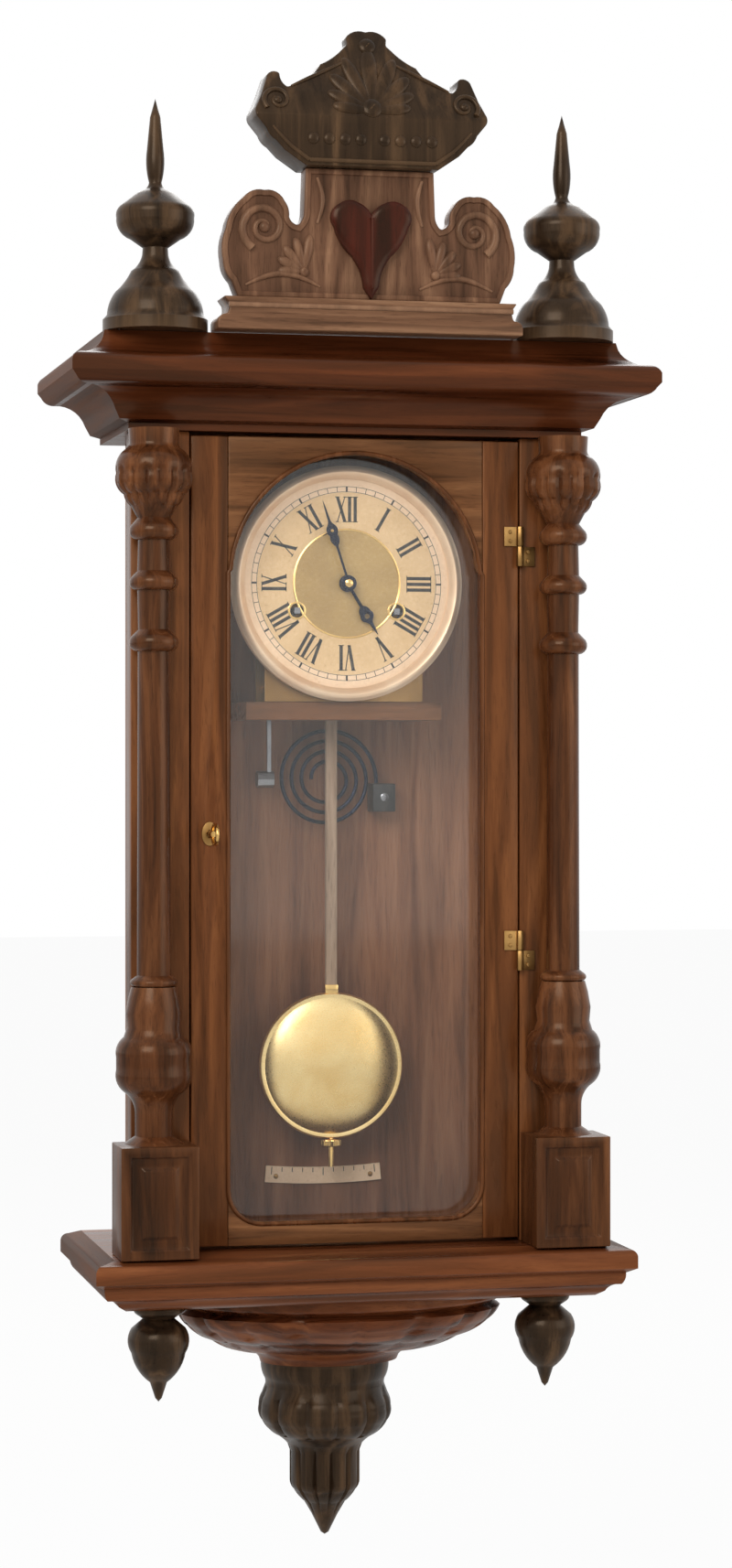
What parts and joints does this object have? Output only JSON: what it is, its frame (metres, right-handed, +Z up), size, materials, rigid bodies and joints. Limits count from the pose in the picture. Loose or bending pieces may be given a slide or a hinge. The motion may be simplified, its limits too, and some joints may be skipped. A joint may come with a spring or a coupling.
{
  "type": "wall regulator clock",
  "caption": "Wall clock in a glazed wooden case with turned columns, a carved crest, a round dial, a pendulum with a brass bob and a gong.",
  "frame": {"origin": "on the wall plane (the back face of the backboard), straight behind the centre of the dial", "axes": "+X to the viewer's right, +Y into the wall so that the clock faces -Y, +Z up"},
  "size_m": [0.448, 0.191, 1.1532],
  "materials": {
    "walnut": "polished reddish-brown walnut with fine grain",
    "ebonised": "ebonised near-black wood, semi-gloss",
    "redwood": "dark red polished wood",
    "glass": "clear window glass",
    "brass": "polished, lightly aged brass",
    "steel": "polished steel",
    "blued_steel": "blued steel",
    "enamel": "ivory enamel",
    "rod_wood": "pale varnished wood",
    "cast_iron": "dark cast iron"
  },
  "bodies": {
    "case": {"backboard": "walnut", "hanger_plate": "brass", "side_frame_left": "walnut", "side_glass_left": "glass", "side_frame_right": "walnut", "side_glass_right": "glass", "cornice": "walnut", "plinth": "walnut", "bracket_bowl": "walnut", "bottom_finial": "ebonised", "drop_left": "ebonised", "drop_right": "ebonised", "finial_left": "ebonised", "finial_right": "ebonised", "column_left": "walnut", "column_right": "walnut", "pedestal_left": "walnut", "pedestal_right": "walnut", "crest_base": "walnut", "crest_panel": "walnut", "crest_cap": "ebonised", "crest_ornament": "redwood", "hinge_pin_upper": "brass", "hinge_pin_lower": "brass", "dial_plate": "enamel", "dial_bezel": "brass", "front_plate": "brass", "back_plate": "brass", "seatboard": "walnut", "suspension_cock": "brass", "gong_coil": "blued_steel", "gong_block": "cast_iron", "beat_scale": "enamel"},
    "door": {"door_stile_left": "walnut", "door_stile_right": "walnut", "door_head": "walnut", "door_rail": "walnut", "door_glass": "glass", "hinge_leaf_upper": "brass", "hinge_leaf_lower": "brass"},
    "key": {"door_key": "brass"},
    "bolt": {"lock_bolt": "steel"},
    "minute_work": {"centre_arbor": "brass", "minute_hand": "blued_steel"},
    "hour_work": {"hour_wheel": "brass", "hour_hand": "blued_steel"},
    "motion_wheel": {"minute_wheel": "brass"},
    "third": {"third_wheel": "brass"},
    "escape": {"escape_wheel": "brass"},
    "intermediate": {"intermediate_wheel": "brass"},
    "going_barrel": {"going_barrel": "brass"},
    "going_arbor": {"going_winding_arbor": "steel"},
    "strike_barrel": {"strike_barrel": "brass"},
    "strike_arbor": {"strike_winding_arbor": "steel"},
    "anchor": {"anchor": "steel"},
    "pendulum": {"suspension_spring": "steel", "pendulum_rod": "rod_wood", "pendulum_bob": "brass"},
    "nut": {"rating_nut": "brass"},
    "hammer": {"hammer": "steel"}
  },
  "joints": [
    {"name": "door_hinge", "type": "hinge", "parent": "case", "child": "door", "pos_m": [0.12735, -0.137, -0.19], "axis": [0, 0, 1], "range_deg": [0, 90]},
    {"name": "key_turn", "type": "hinge", "parent": "door", "child": "key", "pos_m": [-0.1127, -0.134, -0.19], "axis": [0, 1, 0], "range_deg": [0, 90]},
    {"name": "bolt_slide", "type": "slide", "parent": "door", "child": "bolt", "axis": [-1, 0, 0], "range_m": [0, 0.006]},
    {"name": "minute_turn", "type": "hinge", "parent": "case", "child": "minute_work", "pos_m": [0, -0.072, 0], "axis": [0, 1, 0], "continuous": true},
    {"name": "hour_turn", "type": "hinge", "parent": "case", "child": "hour_work", "pos_m": [0, -0.1, 0], "axis": [0, 1, 0], "continuous": true},
    {"name": "motion_turn", "type": "hinge", "parent": "case", "child": "motion_wheel", "pos_m": [0, -0.094, -0.02], "axis": [0, 1, 0], "continuous": true},
    {"name": "third_turn", "type": "hinge", "parent": "case", "child": "third", "pos_m": [-0.02, -0.072, 0.022], "axis": [0, 1, 0], "continuous": true},
    {"name": "escape_turn", "type": "hinge", "parent": "case", "child": "escape", "pos_m": [0, -0.072, 0.044], "axis": [0, 1, 0], "continuous": true},
    {"name": "intermediate_turn", "type": "hinge", "parent": "case", "child": "intermediate", "pos_m": [0.008, -0.072, -0.028], "axis": [0, 1, 0], "continuous": true},
    {"name": "going_barrel_turn", "type": "hinge", "parent": "case", "child": "going_barrel", "pos_m": [0.039, -0.072, -0.021], "axis": [0, 1, 0], "continuous": true},
    {"name": "going_wind", "type": "hinge", "parent": "case", "child": "going_arbor", "pos_m": [0.039, -0.09, -0.021], "axis": [0, 1, 0], "continuous": true},
    {"name": "strike_barrel_turn", "type": "hinge", "parent": "case", "child": "strike_barrel", "pos_m": [-0.039, -0.072, -0.021], "axis": [0, 1, 0], "continuous": true},
    {"name": "strike_wind", "type": "hinge", "parent": "case", "child": "strike_arbor", "pos_m": [-0.039, -0.09, -0.021], "axis": [0, 1, 0], "continuous": true},
    {"name": "pendulum_swing", "type": "hinge", "parent": "case", "child": "pendulum", "pos_m": [0, -0.045, 0.0685], "axis": [0, 1, 0], "range_deg": [-3.5, 3.5]},
    {"name": "anchor_swing", "type": "hinge", "parent": "case", "child": "anchor", "pos_m": [0, -0.07, 0.0685], "axis": [0, 1, 0], "range_deg": [-3.5, 3.5]},
    {"name": "nut_turn", "type": "hinge", "parent": "pendulum", "child": "nut", "pos_m": [0, -0.045, -0.433], "axis": [0, 0, 1], "continuous": true},
    {"name": "hammer_lift", "type": "hinge", "parent": "case", "child": "hammer", "pos_m": [-0.046, -0.06, -0.062], "axis": [0, 1, 0], "range_deg": [0, 10], "stiffness_Nm_per_rad": 0.06, "springref_deg": -20.05}
  ],
  "couplings": [
    {"joint": "key_turn", "follows": "bolt_slide", "rad_per_m": 261.79},
    {"joint": "hour_turn", "follows": "minute_turn", "ratio": 0.083333},
    {"joint": "motion_turn", "follows": "minute_turn", "ratio": -0.33333},
    {"joint": "third_turn", "follows": "minute_turn", "ratio": -10},
    {"joint": "escape_turn", "follows": "minute_turn", "ratio": 90},
    {"joint": "intermediate_turn", "follows": "minute_turn", "ratio": -0.16667},
    {"joint": "going_barrel_turn", "follows": "minute_turn", "ratio": 0.020833},
    {"joint": "anchor_swing", "follows": "pendulum_swing", "ratio": 1}
  ]
}
